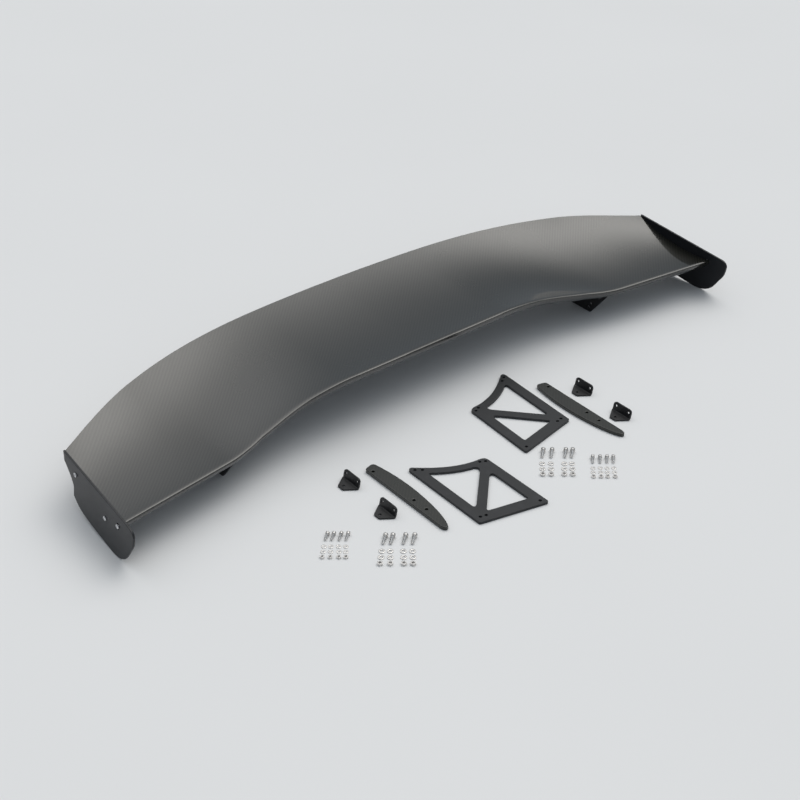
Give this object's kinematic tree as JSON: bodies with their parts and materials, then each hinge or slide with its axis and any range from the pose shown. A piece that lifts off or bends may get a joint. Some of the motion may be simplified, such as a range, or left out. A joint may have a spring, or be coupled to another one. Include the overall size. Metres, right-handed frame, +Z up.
{
  "type": "racing rear wing kit",
  "caption": "Cambered rear wing blade with end plates and under-wing brackets, with the stays, base plates, angle brackets and fasteners that mount it lying in front.",
  "frame": {"origin": "on the floor, under the middle of the whole kit", "axes": "+X along the span to the right, +Y from the leading edge to the trailing edge, +Z up"},
  "size_m": [1.612, 0.82, 0.138],
  "materials": {
    "carbon_gloss": "clear-lacquered woven carbon fibre, glossy",
    "carbon_satin": "satin woven carbon fibre sheet",
    "carbon_plate": "lacquered carbon fibre laminate",
    "bonded_core": "bonded laminate, unpainted",
    "stay_black": "satin black anodised aluminium plate",
    "bracket_black": "black powder coat",
    "stainless": "stainless steel",
    "screw_steel": "stainless steel, button head"
  },
  "bodies": {
    "wing": {"upper_skin": "carbon_gloss", "lower_skin": "carbon_gloss", "front_spar": "bonded_core", "rear_spar": "bonded_core", "tip_rib_left": "bonded_core", "end_plate_left": "carbon_satin", "end_plate_screw_left_1": "screw_steel", "end_plate_screw_left_2": "screw_steel", "end_plate_screw_left_3": "screw_steel", "bracket_block_left": "bonded_core", "under_bracket_front_left": "bracket_black", "under_bracket_rear_left": "bracket_black", "tip_rib_right": "bonded_core", "end_plate_right": "carbon_satin", "end_plate_screw_right_1": "screw_steel", "end_plate_screw_right_2": "screw_steel", "end_plate_screw_right_3": "screw_steel", "bracket_block_right": "bonded_core", "under_bracket_front_right": "bracket_black", "under_bracket_rear_right": "bracket_black"},
    "stay_left": {"stay_left": "stay_black"},
    "stay_right": {"stay_right": "stay_black"},
    "base_plate_left": {"base_plate_left": "carbon_plate"},
    "base_plate_right": {"base_plate_right": "carbon_plate"},
    "angle_bracket_left_rear": {"angle_bracket_left_rear": "bracket_black"},
    "angle_bracket_left_front": {"angle_bracket_left_front": "bracket_black"},
    "angle_bracket_right_rear": {"angle_bracket_right_rear": "bracket_black"},
    "angle_bracket_right_front": {"angle_bracket_right_front": "bracket_black"},
    "fasteners_m5_left": {"bolt_m5_left_1": "stainless", "bolt_m5_left_2": "stainless", "bolt_m5_left_3": "stainless", "bolt_m5_left_4": "stainless", "nut_m5_left_1": "stainless", "nut_m5_left_2": "stainless", "nut_m5_left_3": "stainless", "nut_m5_left_4": "stainless"},
    "fasteners_m6_left": {"bolt_m6_left_1": "stainless", "bolt_m6_left_2": "stainless", "bolt_m6_left_3": "stainless", "bolt_m6_left_4": "stainless", "nut_m6_left_1": "stainless", "nut_m6_left_2": "stainless", "nut_m6_left_3": "stainless", "nut_m6_left_4": "stainless"},
    "fasteners_m6_right": {"bolt_m6_right_1": "stainless", "bolt_m6_right_2": "stainless", "bolt_m6_right_3": "stainless", "bolt_m6_right_4": "stainless", "nut_m6_right_1": "stainless", "nut_m6_right_2": "stainless", "nut_m6_right_3": "stainless", "nut_m6_right_4": "stainless"},
    "fasteners_m5_right": {"bolt_m5_right_1": "stainless", "bolt_m5_right_2": "stainless", "bolt_m5_right_3": "stainless", "bolt_m5_right_4": "stainless", "nut_m5_right_1": "stainless", "nut_m5_right_2": "stainless", "nut_m5_right_3": "stainless", "nut_m5_right_4": "stainless"}
  },
  "joints": [
    {"name": "lift_stay_left", "type": "slide", "parent": "wing", "child": "stay_left", "axis": [0, 0, 1], "range_m": [0, 0.2]},
    {"name": "lift_stay_right", "type": "slide", "parent": "wing", "child": "stay_right", "axis": [0, 0, 1], "range_m": [0, 0.2]},
    {"name": "lift_base_plate_left", "type": "slide", "parent": "wing", "child": "base_plate_left", "axis": [0, 0, 1], "range_m": [0, 0.2]},
    {"name": "lift_base_plate_right", "type": "slide", "parent": "wing", "child": "base_plate_right", "axis": [0, 0, 1], "range_m": [0, 0.2]},
    {"name": "lift_angle_bracket_left_rear", "type": "slide", "parent": "wing", "child": "angle_bracket_left_rear", "axis": [0, 0, 1], "range_m": [0, 0.2]},
    {"name": "lift_angle_bracket_left_front", "type": "slide", "parent": "wing", "child": "angle_bracket_left_front", "axis": [0, 0, 1], "range_m": [0, 0.2]},
    {"name": "lift_angle_bracket_right_rear", "type": "slide", "parent": "wing", "child": "angle_bracket_right_rear", "axis": [0, 0, 1], "range_m": [0, 0.2]},
    {"name": "lift_angle_bracket_right_front", "type": "slide", "parent": "wing", "child": "angle_bracket_right_front", "axis": [0, 0, 1], "range_m": [0, 0.2]},
    {"name": "lift_fasteners_m5_left", "type": "slide", "parent": "wing", "child": "fasteners_m5_left", "axis": [0, 0, 1], "range_m": [0, 0.2]},
    {"name": "lift_fasteners_m6_left", "type": "slide", "parent": "wing", "child": "fasteners_m6_left", "axis": [0, 0, 1], "range_m": [0, 0.2]},
    {"name": "lift_fasteners_m6_right", "type": "slide", "parent": "wing", "child": "fasteners_m6_right", "axis": [0, 0, 1], "range_m": [0, 0.2]},
    {"name": "lift_fasteners_m5_right", "type": "slide", "parent": "wing", "child": "fasteners_m5_right", "axis": [0, 0, 1], "range_m": [0, 0.2]}
  ]
}
